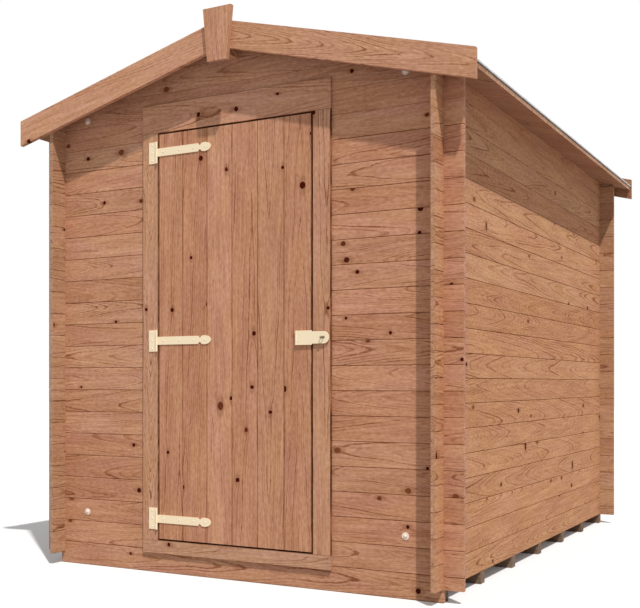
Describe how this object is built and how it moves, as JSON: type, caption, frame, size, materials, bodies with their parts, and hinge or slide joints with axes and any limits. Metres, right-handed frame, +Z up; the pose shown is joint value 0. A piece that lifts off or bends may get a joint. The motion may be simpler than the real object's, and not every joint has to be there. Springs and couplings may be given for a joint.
{
  "type": "garden shed",
  "caption": "Apex garden shed of interlocking log boards on floor bearers, with a felted roof and an outward-opening ledged door with a hasp.",
  "frame": {"origin": "on the ground, under the middle of the shed", "axes": "+Z up, the door faces -Y, +X to the right as seen from the front"},
  "size_m": [2.108, 2.648, 2.2589],
  "materials": {
    "log_timber": "pressure-treated softwood, planed, with brown knots",
    "door_timber": "pressure-treated softwood, planed, grain upright",
    "bearer_timber": "sawn treated softwood",
    "roofing_felt": "mineral-faced bitumen felt",
    "cream_iron": "cream paint",
    "plated_iron": "dull brass-coloured plating"
  },
  "bodies": {
    "shed": {"floor_bearers": "bearer_timber", "floor_boards": "log_timber", "front_bottom_log": "log_timber", "front_wall_left": "log_timber", "front_wall_right": "log_timber", "front_gable": "log_timber", "back_wall": "log_timber", "back_gable": "log_timber", "left_wall": "log_timber", "right_wall": "log_timber", "ridge_purlin": "log_timber", "roof_boards_left": "log_timber", "roof_boards_right": "log_timber", "felt_left": "roofing_felt", "felt_right": "roofing_felt", "ridge_capping": "roofing_felt", "front_barge_left": "log_timber", "front_barge_right": "log_timber", "back_barge_left": "log_timber", "back_barge_right": "log_timber", "front_finial": "log_timber", "back_finial": "log_timber", "door_sill": "log_timber", "door_post_left": "log_timber", "door_post_right": "log_timber", "door_head": "log_timber", "door_stops": "log_timber", "top_hinge_plate": "cream_iron", "middle_hinge_plate": "cream_iron", "bottom_hinge_plate": "cream_iron", "hasp_staple": "plated_iron"},
    "door": {"door_boards": "door_timber", "door_ledges": "door_timber", "top_hinge_strap": "cream_iron", "middle_hinge_strap": "cream_iron", "bottom_hinge_strap": "cream_iron", "hasp_plate": "cream_iron"},
    "flap": {"hasp_flap": "cream_iron"}
  },
  "joints": [
    {"name": "door_hinge", "type": "hinge", "parent": "shed", "child": "door", "pos_m": [-0.3685, -1.2253, 0.98], "axis": [0, 0, -1], "range_deg": [0, 165]},
    {"name": "hasp_hinge", "type": "hinge", "parent": "door", "child": "flap", "pos_m": [0.3015, -1.2253, 0.963], "axis": [0, 0, -1], "range_deg": [0, 150]}
  ]
}
